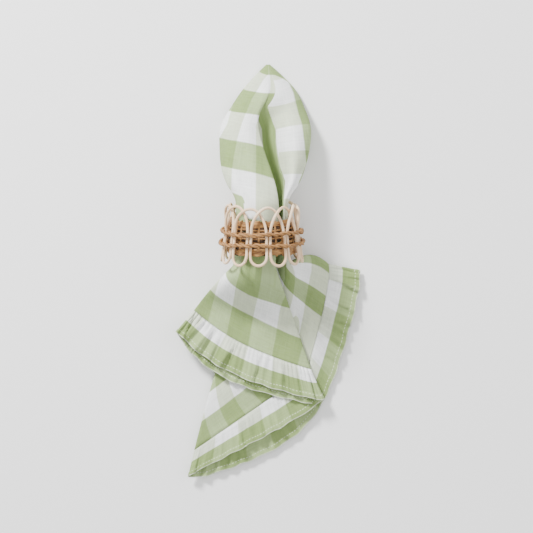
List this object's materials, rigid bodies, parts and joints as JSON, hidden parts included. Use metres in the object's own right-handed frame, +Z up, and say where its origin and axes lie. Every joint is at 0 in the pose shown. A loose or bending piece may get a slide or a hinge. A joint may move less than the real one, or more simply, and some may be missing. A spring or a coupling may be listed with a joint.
{
  "type": "cloth napkin in a rattan napkin ring",
  "caption": "Checked cloth napkin with a ruffled edge, pinched at its centre and drawn through a looped rattan napkin ring, lying flat on the table.",
  "frame": {"origin": "on the surface that the napkin lies on, below the middle of the whole part", "axes": "+Z up, +Y along the napkin towards its pinched tip, +X to the right seen from above with the tip away"},
  "size_m": [0.1428, 0.3253, 0.0673],
  "materials": {
    "panel_cloth": "plain woven cotton in a two-tone check, matt",
    "ruffle_cloth": "plain woven cotton, gathered, matt",
    "rattan": "peeled pale rattan core, satin",
    "band_fibre": "dried brown plant fibre, matt",
    "cord_fibre": "twisted brown plant fibre, matt"
  },
  "bodies": {
    "root": {"napkin_panel": "panel_cloth", "napkin_ruffle": "ruffle_cloth", "rattan_rod": "rattan", "woven_band": "band_fibre", "twined_cord_upper": "cord_fibre", "twined_cord_lower": "cord_fibre"}
  },
  "joints": []
}
